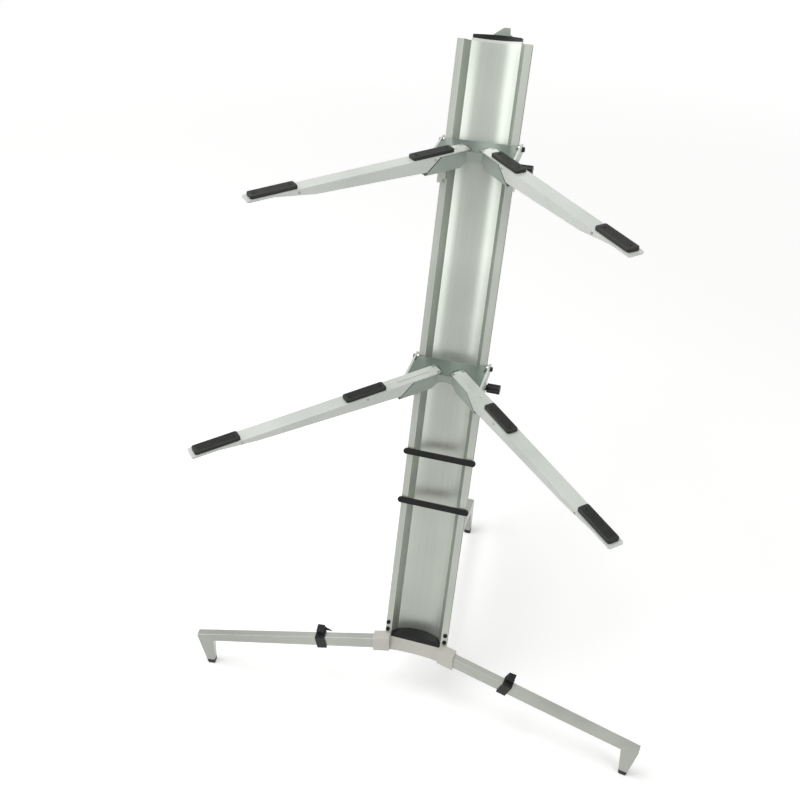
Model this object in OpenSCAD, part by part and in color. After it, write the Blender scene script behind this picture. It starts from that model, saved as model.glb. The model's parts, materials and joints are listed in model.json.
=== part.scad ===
// Folding keyboard stand: an open aluminium column that leans back on three
// plug-in legs and carries two tiers of folding support arms.
// Origin: centre of the footprint, on the floor. +X right, +Y back, +Z up.

/* [Column] */
// Length of the extruded column
column_l = 1300; // [1150:1:1450]
// Width of the column over its two ribs
column_w = 146; // [138:1:156]
// Depth of the column from front face to rounded back
column_d = 58; // [54:1:64]
// Angle at which the column leans back from upright
column_lean = 22.3; // [18:0.1:24]
// Height of the column's bottom front edge above the floor
column_z = 194.3; // [185:0.1:220]
// Wall thickness of the extrusion
wall = 3; // [2:0.1:3.4]
// Width of the rib along each edge of the column
rib_w = 14; // [13:0.5:16]
// Inward run of each slanted channel side
flank_w = 10; // [8:0.5:12]
// Depth at which the slanted sides meet the rounded floor
flank_d = 20.7; // [18:0.1:23]
// Extra depth of the rounded channel floor at the middle
floor_sag = 16.5; // [12:0.5:17]
// Opening of the side slot in which the tiers slide
slot_mouth = 6; // [5.6:0.1:7]

/* [Tiers] */
// Distance of the lower tier from the bottom of the column
lower_t = 670.8; // [600:0.1:760]
// Distance of the upper tier from the top of the column
upper_drop = 183.8; // [140:0.1:240]
// Arm length of the lower tier, from the middle of the yoke to the tip
lower_arm_l = 565; // [480:1:620]
// Arm length of the upper tier, from the middle of the yoke to the tip
upper_arm_l = 486; // [420:1:560]
// Distance of the inner pad's middle from the middle of the lower yoke
lower_pad_s = 201; // [170:0.5:280]
// Distance of the inner pad's middle from the middle of the upper yoke
upper_pad_s = 107.5; // [105:0.5:250]
// Angle of the arms to the stand's width, seen from above
arm_splay = 46.5; // [44:0.5:49]
// Width of an arm
arm_w = 30; // [28:1:33]
// Height of an arm at its root
arm_h = 27; // [22:1:29]
// Height of an arm at its tip
arm_tip_h = 4; // [3.5:0.5:6]
// Sheet thickness of an arm
arm_wall = 2.5; // [2:0.1:3]
// Height of the yoke's apron
yoke_h = 30; // [28:1:34]
// Length of a rubber pad
pad_l = 90; // [70:1:94]
// Width of a rubber pad
pad_w = 24; // [18:1:26]
// Height of a rubber pad
pad_h = 6.6; // [4:0.1:8]

/* [Base] */
// Distance of the front leg seams from the middle of the stand
seam_x = 97; // [94:1:110]
// Distance of the rear leg's seam behind the column's bottom edge
rear_seam = 133.9; // [125:0.1:150]
// Reach of a leg from its seam to its tip, seen from above
leg_l = 438.7; // [380:0.1:500]
// Forward sweep of the front legs
leg_sweep = 7.5; // [5:0.5:9]
// Height of the leg's tip above the floor
leg_tip_z = 108; // [96:1:118]
// Height of a leg's section at the seam
leg_h = 33; // [31:0.5:35]
// Depth of a leg from front to back
leg_d = 18; // [16:0.5:20]
// Length of a leg's tenon inside the hub
tenon_in = 34; // [24:1:34]

/* [Hidden] */
$fn = 64;
// Overrun of every cut
over = 1;
// Running clearance of moving pieces
gap = 0.3;
// Clearance of hinge and pivot shafts in their bores
pin_gap = 0.05;
// Finishes
bare_metal = "#c9ccc6";
light_metal = "#dfe1dc";
leg_metal = "#b9bdb6";
plate_grey = "#6f7a74";
black = "#1b1b1c";
rubber = "#3a3b38";
steel = "#a9adae";

// Column section: ribs with side slots, slanted flanks, round floor and back
rib_d = 14;
half_w = column_w / 2;
mouth = half_w - rib_w;
floor_x = mouth - flank_w;
floor_r = (floor_x * floor_x + floor_sag * floor_sag) / (2 * floor_sag);
floor_y = flank_d + floor_sag - floor_r;
back_rise = column_d - rib_d;
back_r = (half_w * half_w + back_rise * back_rise) / (2 * back_rise);
back_y = column_d - back_r;
slot_y = rib_d / 2;
slot_lip = 2.3;
slot_depth = 5.7;
slot_width = 9;
slot_middle = half_w - slot_lip - slot_depth / 2;
web_x = 18;
web_w = 2.5;
column_y = 12.1;
lean_sin = sin(column_lean);
lean_cos = cos(column_lean);

// Ends of the column
cap_in = 7;
cap_h = 12;
collar_h = 5;
top_cap_h = 10;
top_cap_inset = 1;
top_cap_drop = 3;
hook_d = 8;
hook_foot = 30;
hook_left = 32;
hook_right = 25;
hook_peak = [5, 17];
hook_rise = [4.5, 31, 20, 16];
hook_screw_x = 12;
hook_screw_t = -16;
screw_d = 5;
screw_head_d = 9.5;
screw_head_h = 3;
screw_l = 12;

// Straps across the channel
band_t = [337.4, 452.6];
band_w = 13;
band_h = 5;
band_over = 7.5;
stud_wall = 4;

// Base hub and legs
hub_drop = 36.3;
hub_arch_r = 500;
hub_arch_z = column_z - hub_drop;
hub_block_h = 60;
hub_bar_in = 5;
hub_bar_l = 40;
hub_screw_t = [10, 27.2];
seam_drop = 7.9;
leg_y = -2;
leg_z = column_z - seam_drop;
leg_tip_h = 18;
leg_drop = leg_z - leg_tip_z;
dip = atan(leg_drop / leg_l);
leg_round = 3;
slab = 0.5;
tip_face_h = 10;
sleeve_wall = 3;
sleeve_rise = 5.6;
rear_seam_y = column_y + rear_seam;
tenon_wall = 3;
tenon_out = 60;
tenon_d = leg_d - 2 * tenon_wall;
tenon_h = leg_h - 3 * tenon_wall;
foot_neck = 38;
foot_heel = 31;
foot_toe = 13;
foot_h = 14;
foot_plug = 10;
foot_plug_inset = 5;
clip_s = 127;
clip_w = 23;
clip_wall = 3;
clip_lug_d = 20;
clip_lug_h = 13;
clip_tail_l = 12;

// Slider that runs in the side slots
block_x = half_w + gap;
block_wall = 3.7;
block_low = -88;
block_high = -18;
block_front = -12;
block_back = 15;
jaw_x = mouth + over;
jaw_gap = 0.4;
jaw_high = -30;
jaw_step = 8;
nut_low = -85;
nut_high = 4;
pivot_t = -7;
pivot_d = 6;
pivot_thread_d = 5;
pivot_boss_r = 8;
bolt_head_d = 10;
bolt_head_h = 4.5;
block_screw_t = -72;
knob_t = -44;
knob_w = -6.4;
knob_d = 20;
knob_neck_d = 12;
knob_neck_l = 5;
knob_l = 27;
knob_flutes = 8;
knob_flute_d = 5;
stud_d = 6;
stud_in = 14;
stud_out = 18;

// Yoke and its side plates
plate_wall = 4;
plate_x = block_x + block_wall + gap;
yoke_y = -20;
yoke_wall = 3.5;
yoke_top = 4.5;
yoke_back = -4;
cheek_y = -38;
notch_y = -24;
nose_y = -58;
arch_half = 25;
arch_rise = 13;
arch_r = (arch_half * arch_half + arch_rise * arch_rise) / (2 * arch_rise);
cover_h = 0.8;
cover_inset = 1.5;
plate_back = 14;
plate_front = -88;
plate_h = 22;
plate_round = 6;
side_screw_y = [-52, -68];
side_screw_z = -12;
pivot_y = slot_y * lean_cos + pivot_t * lean_sin;
pivot_z = pivot_t * lean_cos - slot_y * lean_sin;

// Arms and their hinges
hinge_s = 31;
hinge_z = -2.2;
knuckle_r = cover_h + arm_wall - hinge_z;
knuckle_w = 16;
pocket = 16;
tongue_start = 6.5;
pin_r = 2.5;
seat_top_s = 94;
seat_run = 36;
seat_gap = 0.4;
buffer_l = 3;
horn_l = seat_top_s + seat_run;
arm_taper = 130;
arm_lip = 48;
// Rise of the arm's lower edge as a share of its run
arm_fall_share = 0.045;
arm_round = 4;
arm_top = cover_h + arm_wall;
bead_s = [51, 127];
bead_w = 4;
bead_h = 1.5;
outer_pad_inset = 52;
pad_round = 5;
pad_gap = 4;
rivet_d = 3;
rivet_head_d = 4.5;
rivet_head_h = 1;
rivet_z = -3;

// Middle of the footprint, from the arm tips in front to the rear leg's tip
function face_y(t) = column_y + t * lean_sin;
function face_z(t) = column_z + t * lean_cos;
upper_t = column_l - upper_drop;
arm_reach = (lower_arm_l - arm_round) * sin(arm_splay)
    + (arm_w / 2 - arm_round) * cos(arm_splay) + arm_round;
upper_reach = (upper_arm_l - arm_round) * sin(arm_splay)
    + (arm_w / 2 - arm_round) * cos(arm_splay) + arm_round;
front_y = min(face_y(lower_t) + yoke_y - arm_reach, face_y(upper_t) + yoke_y - upper_reach);
origin_y = (front_y + rear_seam_y + leg_l) / 2;

module mirrored() {
    children();
    mirror([1, 0, 0]) children();
}

module placed() {
    translate([0, -origin_y, 0]) children();
}

// Frame of the column: x across, y into its depth, z along it
module on_column(t = 0) {
    placed() translate([0, column_y, column_z]) rotate([-column_lean, 0, 0])
        translate([0, 0, t]) children();
}

// Level frame at a tier: origin on the column's face at the yoke's top
module at_tier(t) {
    placed() translate([0, face_y(t), face_z(t)]) children();
}

// Frame of the right arm: x along the arm
module along_arm() {
    translate([0, yoke_y, 0]) rotate([0, 0, -arm_splay]) children();
}

// Frames of the legs: x outward from the seam, z up from the leg's top
module at_right_leg() {
    placed() translate([seam_x, leg_y, leg_z]) rotate([0, 0, -leg_sweep]) children();
}

module at_left_leg() {
    placed() mirror([1, 0, 0]) translate([seam_x, leg_y, leg_z]) rotate([0, 0, -leg_sweep])
        children();
}

module at_rear_leg() {
    placed() translate([0, rear_seam_y, leg_z]) rotate([0, 0, 90]) children();
}

// Extrudes an outline drawn in side view, to both sides of the middle
module side_extrude(w) {
    rotate([90, 0, 0]) linear_extrude(w, center = true) children();
}

// Extrudes an outline drawn from the right, along x
module across(x0, l) {
    translate([x0, 0, 0]) rotate([90, 0, 90]) linear_extrude(l) children();
}

// Shaft along x
module shaft_x(x0, l, r) {
    translate([x0, 0, 0]) rotate([0, 90, 0]) cylinder(h = l, r = r);
}

// Shaft along y, from y0 backwards
module shaft_y(y0, l, r) {
    translate([0, y0, 0]) rotate([-90, 0, 0]) cylinder(h = l, r = r);
}

module rounded(l, w, r) {
    square([l, w - 2 * r], center = true);
    square([l - 2 * r, w], center = true);
    for (x = [-1, 1], y = [-1, 1]) translate([x * (l / 2 - r), y * (w / 2 - r)]) circle(r);
}

// Outline moved inwards by d, for points that run counter-clockwise
function inward(a, b) = [a[1] - b[1], b[0] - a[0]] / norm(b - a);
function inset(pts, d) = [for (i = [0 : len(pts) - 1])
    let (n = len(pts), one = inward(pts[(i + n - 1) % n], pts[i]),
        two = inward(pts[i], pts[(i + 1) % n]))
    pts[i] + d * (one + two) / (1 + one * two)];

// Column section
module column_outline(grow = 0) {
    intersection() {
        translate([0, back_y]) circle(back_r + grow, $fn = 128);
        translate([-half_w - grow, -grow]) square([column_w + 2 * grow, column_d + 2 * grow]);
    }
}

// Channel between the ribs: straight flanks that end on the round floor
module channel_section() {
    top_y = flank_d + floor_sag + over;
    top_x = mouth - flank_w * top_y / flank_d;
    intersection() {
        translate([0, floor_y]) circle(floor_r, $fn = 128);
        polygon([[-mouth, -over], [mouth, -over], [mouth, 0], [top_x, top_y],
            [-top_x, top_y], [-mouth, 0]]);
    }
}

module chamber_section() {
    low = slot_y + slot_width / 2 + wall;
    difference() {
        intersection() {
            translate([0, back_y]) circle(back_r - wall, $fn = 128);
            translate([-half_w, low]) square([column_w, column_d]);
        }
        translate([0, floor_y]) circle(floor_r + wall, $fn = 128);
        polygon([[-mouth - wall, 0], [mouth + wall, 0], [floor_x + wall, flank_d],
            [-floor_x - wall, flank_d]]);
        mirrored() translate([web_x, 0]) square([web_w, column_d]);
    }
}

module slot_section() {
    translate([half_w - slot_lip - over, slot_y - slot_mouth / 2])
        square([slot_lip + 2 * over, slot_mouth]);
    translate([half_w - slot_lip - slot_depth, slot_y - slot_width / 2])
        square([slot_depth, slot_width]);
}

module column_profile() {
    color(bare_metal) difference() {
        on_column() linear_extrude(column_l) difference() {
            column_outline();
            channel_section();
            chamber_section();
            mirrored() slot_section();
        }
        mirrored() for (t = hub_screw_t) on_column(t) translate([slot_middle, 0, 0])
            shaft_y(-over, slot_y, screw_d / 2 + pin_gap);
        mirrored() on_column(column_l + hook_screw_t) translate([hook_screw_x, 0, 0])
            shaft_y(column_d - 3 * wall, 3 * wall, screw_d / 2 + pin_gap);
    }
}

// Black half-moon in the foot of the channel
module bottom_cap() {
    color(black) on_column(-cap_in) linear_extrude(cap_h) intersection() {
        offset(delta = -gap) channel_section();
        translate([-half_w, 0]) square([column_w, column_d]);
    }
}

// Crescent between channel floor and rounded back
module crescent(inset_by = 0) {
    difference() {
        intersection() {
            translate([0, back_y]) circle(back_r - inset_by, $fn = 128);
            translate([-floor_x + inset_by, 0])
                square([2 * (floor_x - inset_by), column_d]);
        }
        translate([0, floor_y]) circle(floor_r + inset_by, $fn = 128);
    }
}

module top_collar() {
    color(light_metal) on_column(column_l) linear_extrude(collar_h) crescent();
}

module top_cap() {
    reach = floor_x - top_cap_inset;
    dome_r = (reach * reach + top_cap_drop * top_cap_drop) / (2 * top_cap_drop);
    color(black) on_column(column_l + collar_h) intersection() {
        linear_extrude(top_cap_h) crescent(top_cap_inset);
        translate([0, 0, top_cap_h - dome_r]) shaft_y(0, column_d, dome_r, $fn = 256);
    }
}

module top_hook() {
    color(plate_grey) difference() {
        on_column(column_l) translate([0, column_d + hook_d / 2, 0]) rotate([90, 0, 0])
            linear_extrude(hook_d) polygon([[-hook_left, -hook_foot], [hook_right, -hook_foot],
                [hook_right, hook_rise[3]], [hook_peak[1] + over, hook_rise[2]],
                [hook_peak[1], hook_rise[1]], [hook_peak[0], hook_rise[1]],
                [-hook_left, hook_rise[0]]]);
        on_column(column_l - hook_foot - over)
            linear_extrude(hook_foot + over + collar_h + top_cap_h + over)
            column_outline(gap);
        for (x = [-hook_screw_x, hook_screw_x]) on_column(column_l + hook_screw_t)
            translate([x, 0, 0]) shaft_y(0, 2 * column_d, screw_d / 2 + pin_gap);
    }
}

// Screw along y: head in front of the face at y = 0, shank behind it
module face_screw(l) {
    shaft_y(-screw_head_h, screw_head_h, screw_head_d / 2);
    shaft_y(0, l, screw_d / 2);
}

module hook_screws() {
    color(steel) for (x = [-hook_screw_x, hook_screw_x]) on_column(column_l + hook_screw_t)
        translate([x, column_d + hook_d / 2, 0]) rotate([0, 0, 180]) face_screw(hook_d);
}

module tenon_shape(l_in, l_out, grow = 0) {
    rotate([0, dip, 0]) translate([-l_in, -tenon_d / 2 - grow, -tenon_wall - tenon_h - grow])
        cube([l_in + l_out, tenon_d + 2 * grow, tenon_h + 2 * grow]);
}

// Sleeve round a leg's tenon, reaching l inwards from the seam
module sleeve(l, low) {
    side_extrude(leg_d + 2 * sleeve_wall) polygon([[0, sleeve_rise],
        [0, -leg_h - low], [-l, -leg_h - low + l * tan(dip)],
        [-l, sleeve_rise + l * tan(dip)]]);
}

module base_hub() {
    bar_w = slot_depth - 2 * gap;
    rear_l = rear_seam - column_d / 2;
    color(leg_metal) difference() {
        union() {
            difference() {
                union() {
                    on_column(-hub_block_h) linear_extrude(hub_block_h) column_outline();
                    at_left_leg() sleeve(seam_x - mouth, 2 * sleeve_rise);
                    at_right_leg() sleeve(seam_x - mouth, 2 * sleeve_rise);
                }
                placed() translate([0, 0, hub_arch_z - hub_arch_r])
                    shaft_y(-column_w, 3 * column_w, hub_arch_r, $fn = 256);
            }
            at_rear_leg() sleeve(rear_l, sleeve_wall);
        }
        on_column() linear_extrude(hub_block_h) column_outline(gap);
        on_column(-cap_in) linear_extrude(hub_block_h) channel_section();
        at_left_leg() tenon_shape(tenon_in + gap, leg_h, gap);
        at_right_leg() tenon_shape(tenon_in + gap, leg_h, gap);
        at_rear_leg() tenon_shape(tenon_in + gap, leg_h, gap);
    }
    color(leg_metal) mirrored() difference() {
        on_column(-hub_bar_in) translate([slot_middle - bar_w / 2, slot_y - slot_width / 2 + gap, 0])
            cube([bar_w, slot_width - 2 * gap, hub_bar_in + hub_bar_l]);
        for (t = hub_screw_t) on_column(t) translate([slot_middle, 0, 0])
            shaft_y(-over, over + screw_l - screw_head_h, screw_d / 2 + pin_gap);
    }
}

module hub_screws() {
    color(black) mirrored() for (t = hub_screw_t) on_column(t) translate([slot_middle, 0, 0])
        face_screw(screw_l - screw_head_h);
}

module band(t) {
    color(black) on_column(t) rotate([90, 0, 0])
        linear_extrude(band_h) rounded(column_w + 2 * band_over, band_w, band_w / 2 - gap);
}

module upper_band() {
    band(band_t[1]);
}

module lower_band() {
    band(band_t[0]);
}

// Studs that hold the straps in the side slots
module band_studs() {
    neck = slot_mouth - 2 * gap;
    head = slot_width - 2 * gap;
    color(black) mirrored() for (t = band_t) on_column(t) {
        translate([half_w + gap, 0, -band_w / 2 + stud_wall])
            cube([stud_wall, slot_y + neck / 2, band_w - 2 * stud_wall]);
        translate([slot_middle, slot_y - neck / 2, -band_w / 2 + stud_wall])
            cube([half_w + gap + stud_wall - slot_middle, neck, band_w - 2 * stud_wall]);
        translate([slot_middle - slot_depth / 2 + gap, slot_y - head / 2, -band_w / 2 + stud_wall])
            cube([slot_depth - 2 * gap, head, band_w - 2 * stud_wall]);
    }
}

// Upper and lower line of a leg in side view
neck_u = leg_l - foot_neck;
neck_low = leg_tip_z - leg_tip_h - leg_z;
function leg_top(u) = -leg_drop * u / leg_l;
function leg_low(u) = -leg_h + (neck_low + leg_h) * u / neck_u;
// Toe and heel of the foot post at height z above the floor
function toe_u(z) = leg_l - foot_toe * (leg_tip_z - tip_face_h - z) / (leg_tip_z - tip_face_h);
function heel_u(z) = leg_l - foot_heel
    - (foot_neck - foot_heel) * z / (leg_tip_z - leg_tip_h);

module leg_slab(u, top, low) {
    translate([u, 0, (top + low) / 2]) rotate([90, 0, 90]) linear_extrude(slab)
        rounded(leg_d, top - low, leg_round, $fn = 32);
}

module foot_slab(z, h, grow = 0) {
    l = toe_u(z) - heel_u(z) + 2 * grow;
    translate([(toe_u(z) + heel_u(z)) / 2, 0, z - leg_z]) linear_extrude(h)
        rounded(l, leg_d + 2 * grow, leg_round, $fn = 32);
}

module leg() {
    color(leg_metal) difference() {
        union() {
            hull() {
                leg_slab(0, 0, -leg_h);
                leg_slab(neck_u, leg_top(neck_u), neck_low);
            }
            hull() {
                leg_slab(neck_u, leg_top(neck_u), neck_low);
                leg_slab(leg_l - slab, -leg_drop, -leg_drop - tip_face_h);
                foot_slab(foot_h, slab);
            }
        }
        tenon_shape(over, tenon_out);
        foot_slab(foot_h - over, foot_plug + over + gap, gap - foot_plug_inset);
    }
}

module foot() {
    color(rubber) {
        hull() {
            foot_slab(foot_h - slab, slab);
            foot_slab(0, slab);
        }
        foot_slab(foot_h - slab, foot_plug + slab, -foot_plug_inset);
    }
}

module tenon() {
    color(steel) tenon_shape(tenon_in, tenon_out);
}

module left_leg() {
    at_left_leg() leg();
}

module right_leg() {
    at_right_leg() leg();
}

module rear_leg() {
    at_rear_leg() leg();
}

module left_tenon() {
    at_left_leg() tenon();
}

module right_tenon() {
    at_right_leg() tenon();
}

module rear_tenon() {
    at_rear_leg() tenon();
}

module left_foot() {
    at_left_leg() foot();
}

module right_foot() {
    at_right_leg() foot();
}

module rear_foot() {
    at_rear_leg() foot();
}

// Band round a leg, with a lug and a pointed tail on its top
module clip_band(u0, u1, grow) {
    polygon([[u0, leg_top(u0) + grow], [u1, leg_top(u1) + grow],
        [u1, leg_low(u1) - grow], [u0, leg_low(u0) - grow]]);
}

module cable_clip() {
    u0 = clip_s - clip_w / 2;
    u_lug = u0 + clip_wall;
    top = leg_top(clip_s);
    color(black) difference() {
        union() {
            side_extrude(leg_d + 2 * (gap + clip_wall))
                clip_band(u0, u0 + clip_w, gap + clip_wall);
            translate([u_lug, 0, top]) cube([clip_w - 2 * clip_wall, clip_lug_d, clip_lug_h]);
            translate([0, 0, top + clip_lug_h / 2 - clip_wall]) linear_extrude(clip_wall)
                polygon([[u_lug + clip_wall, clip_lug_d / 2], [u_lug + clip_wall, clip_lug_d],
                    [u_lug, clip_lug_d], [u_lug - clip_tail_l, clip_lug_d - clip_wall],
                    [u_lug, clip_lug_d / 2]]);
        }
        side_extrude(leg_d + 2 * gap) clip_band(u0 - over, u0 + clip_w + over, gap);
    }
}

module left_cable_clip() {
    at_left_leg() cable_clip();
}

module right_cable_clip() {
    at_right_leg() cable_clip();
}

// Slide block at the right side of the column, drawn in the column's frame
module slide_block() {
    color(bare_metal) difference() {
        union() {
            translate([block_x, block_front, block_low])
                cube([block_wall, block_back - block_front, block_high - block_low]);
            translate([block_x, slot_y - pivot_boss_r, block_high - over])
                cube([block_wall, 2 * pivot_boss_r, pivot_t - block_high + over]);
            translate([0, slot_y, pivot_t]) shaft_x(block_x, block_wall, pivot_boss_r);
            translate([block_x - rib_w / 2, block_front, block_low])
                cube([rib_w / 2 + over, -jaw_gap - block_front, jaw_high - block_low]);
            translate([jaw_x, block_front, block_low + jaw_step])
                cube([rib_w, -jaw_gap - block_front, jaw_high - block_low - 2 * jaw_step]);
        }
        translate([0, slot_y, pivot_t])
            shaft_x(half_w - over, block_wall + 2 * over + gap, pivot_d / 2 + pin_gap);
        translate([0, slot_y, block_screw_t])
            shaft_x(half_w - over, block_wall + 2 * over + gap, screw_d / 2 + pin_gap);
        translate([0, knob_w, knob_t])
            shaft_x(block_x + block_wall - stud_in, stud_in + over, stud_d / 2 + pin_gap);
    }
}

// Left block: the same casting without the bore of the clamp stud
module plain_slide_block() {
    slide_block();
    color(bare_metal) translate([0, knob_w, knob_t])
        shaft_x(block_x + block_wall - stud_in, stud_in, stud_d / 2 + pin_gap);
}

module slot_nut() {
    w = slot_width - 2 * gap;
    d = slot_depth - 2 * gap;
    color(steel) difference() {
        translate([slot_middle - d / 2, slot_y - w / 2, nut_low]) cube([d, w, nut_high - nut_low]);
        translate([0, slot_y, pivot_t])
            shaft_x(slot_middle - d, 2 * d, pivot_thread_d / 2 + pin_gap);
        translate([0, slot_y, block_screw_t])
            shaft_x(slot_middle - d, 2 * d, screw_d / 2 + pin_gap);
    }
}

module slot_nuts(t) {
    on_column(t) mirrored() slot_nut();
}

// Shoulder bolts on which the side plates turn
module pivot_bolts(t) {
    head_x = plate_x + plate_wall + gap;
    inner_x = slot_middle - slot_depth / 2 + 2 * gap;
    color(steel) on_column(t) mirrored() translate([0, slot_y, pivot_t]) {
        shaft_x(head_x, bolt_head_h, bolt_head_d / 2);
        shaft_x(block_x, head_x - block_x, pivot_d / 2);
        shaft_x(inner_x, block_x - inner_x, pivot_thread_d / 2);
    }
}

module block_screws(t) {
    head_x = block_x + block_wall;
    inner_x = slot_middle - slot_depth / 2 + 2 * gap;
    color(steel) on_column(t) mirrored() translate([0, slot_y, block_screw_t]) {
        shaft_x(head_x, screw_head_h, screw_head_d / 2);
        shaft_x(inner_x, head_x - inner_x, screw_d / 2);
    }
}

module clamp_knob(t) {
    neck_x = block_x + block_wall + gap;
    grip_x = neck_x + knob_neck_l;
    color(black) on_column(t) translate([0, knob_w, knob_t]) difference() {
        union() {
            shaft_x(neck_x, knob_neck_l, knob_neck_d / 2);
            shaft_x(grip_x, knob_l, knob_d / 2);
        }
        shaft_x(neck_x - over, stud_out + over, stud_d / 2);
        for (i = [0 : knob_flutes - 1]) rotate([i * 360 / knob_flutes, 0, 0])
            translate([0, knob_d / 2 + knob_flute_d / 4, 0])
            shaft_x(grip_x + knob_neck_l, knob_l, knob_flute_d / 2, $fn = 24);
    }
}

module clamp_stud(t) {
    x0 = block_x + block_wall - stud_in + gap;
    color(steel) on_column(t) translate([0, knob_w, knob_t])
        shaft_x(x0, stud_in + stud_out, stud_d / 2);
}

// Plan outline of the yoke, with a horn under each arm
function arm_point(s, v) = [s * cos(arm_splay) + v * sin(arm_splay),
    yoke_y - s * sin(arm_splay) + v * cos(arm_splay)];
horn_half = arm_w / 2;
horn_root_s = (plate_x - horn_half * sin(arm_splay)) / cos(arm_splay);
nose_s = (yoke_y - nose_y - horn_half * cos(arm_splay)) / sin(arm_splay);
right_outline = [arm_point(nose_s, -horn_half), arm_point(horn_l, -horn_half),
    arm_point(horn_l, horn_half), arm_point(horn_root_s, horn_half), [plate_x, yoke_back]];
yoke_outline = concat(right_outline,
    [for (i = [len(right_outline) - 1 : -1 : 0]) [-right_outline[i][0], right_outline[i][1]]]);
// Slanted end of the horn on which the arm's root sits
function seat_s(z) = seat_top_s - z * seat_run / yoke_h;

// Everything beyond the slanted seat, moved along the arm
module beyond_seat(shift) {
    low = -yoke_h - over;
    side_extrude(arm_w + 2 * over) polygon([[seat_s(over) + shift, over],
        [seat_s(low) + shift, low], [horn_l + arm_w, low], [horn_l + arm_w, over]]);
}

// Rubber strip on the horn's end, on which the arm's root rests
module seat_buffers(t) {
    low = arm_top - arm_h;
    color(rubber) at_tier(t) mirrored() along_arm() side_extrude(arm_w - 2 * gap)
        polygon([[seat_s(0), 0], [seat_s(low), low], [seat_s(low) + buffer_l, low],
            [seat_s(0) + buffer_l, 0]]);
}

module yoke_notches(z, h) {
    mirrored() translate([half_w - gap, notch_y, z]) cube([column_w, -notch_y, h]);
}

module yoke(t) {
    color(bare_metal) at_tier(t) difference() {
        union() {
            difference() {
                translate([0, 0, -yoke_h]) linear_extrude(yoke_h) polygon(yoke_outline);
                difference() {
                    translate([0, 0, -yoke_h - over]) linear_extrude(yoke_h + over - yoke_top)
                        polygon(inset(yoke_outline, yoke_wall));
                    mirrored() along_arm() beyond_seat(-yoke_wall);
                }
                translate([-column_w, cheek_y, -yoke_h - over])
                    cube([2 * column_w, column_w, yoke_h + over - yoke_top]);
                yoke_notches(-yoke_h, yoke_h + over);
                mirrored() along_arm() beyond_seat(0);
                translate([0, 0, -yoke_h + arch_rise - arch_r])
                    shaft_y(nose_y - arm_w, arm_w + 2 * yoke_wall, arch_r);
                mirrored() along_arm() translate([hinge_s - pocket / 2, -knuckle_w / 2 - gap, -yoke_h])
                    cube([pocket, knuckle_w + 2 * gap, yoke_h + over]);
            }
            mirrored() along_arm() translate([hinge_s, 0, hinge_z]) for (side = [0, 1])
                mirror([0, side, 0]) shaft_y(knuckle_w / 2 + gap,
                    (arm_w - knuckle_w) / 2 - gap, knuckle_r);
        }
        mirrored() along_arm() translate([hinge_s, 0, hinge_z])
            shaft_y(-arm_w, 2 * arm_w, pin_r + pin_gap);
        mirrored() for (y = side_screw_y) translate([0, y, side_screw_z])
            shaft_x(half_w - screw_d, plate_x, screw_d / 2 + pin_gap);
    }
}

// Dark cover over the yoke, under the arms' tongues
module top_plate(t) {
    color(plate_grey) at_tier(t) difference() {
        linear_extrude(cover_h) polygon(inset(yoke_outline, cover_inset));
        yoke_notches(-over, cover_h + 2 * over);
        mirrored() along_arm() {
            beyond_seat(-cover_inset);
            translate([hinge_s - knuckle_r - gap, -arm_w / 2 - gap, -over])
                cube([2 * (knuckle_r + gap), arm_w + 2 * gap, cover_h + 2 * over]);
            translate([hinge_s - pocket / 2, -knuckle_w / 2 - gap, -over])
                cube([pocket, knuckle_w + 2 * gap, cover_h + 2 * over]);
        }
    }
}

module side_plates(t) {
    color(light_metal) at_tier(t) mirrored() difference() {
        across(plate_x, plate_wall) translate([(plate_back + plate_front) / 2, -plate_h / 2])
            rounded(plate_back - plate_front, plate_h, plate_round);
        along_arm() translate([0, -horn_half - gap, -2 * yoke_h])
            cube([2 * horn_l, arm_w + 2 * gap, 3 * yoke_h]);
        translate([0, pivot_y, pivot_z])
            shaft_x(plate_x - over, plate_wall + 2 * over, pivot_d / 2 + pin_gap);
        for (y = side_screw_y) translate([0, y, side_screw_z])
            shaft_x(plate_x - over, plate_wall + 2 * over, screw_d / 2 + pin_gap);
    }
}

module side_screws(t) {
    head_x = plate_x + plate_wall;
    color(steel) at_tier(t) mirrored() for (y = side_screw_y) translate([0, y, side_screw_z]) {
        shaft_x(head_x, screw_head_h, screw_head_d / 2);
        shaft_x(plate_x - yoke_wall, plate_wall + yoke_wall, screw_d / 2);
    }
}

module hinge_pins(t) {
    color(steel) at_tier(t) mirrored() along_arm() translate([hinge_s, 0, hinge_z])
        shaft_y(-arm_w / 2, arm_w, pin_r);
}

// Right arm in its own frame: folded sheet, open below, with a tongue and knuckle
module arm_side(l) {
    low = arm_top - arm_h;
    root = seat_s(low) + buffer_l + seat_gap;
    polygon([[seat_s(arm_top) + buffer_l + seat_gap, arm_top], [root, low],
        [l - arm_taper, low + arm_fall_share * (l - arm_taper - root)],
        [l - arm_lip, arm_top - arm_tip_h], [l, arm_top - arm_tip_h], [l, arm_top]]);
}

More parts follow.
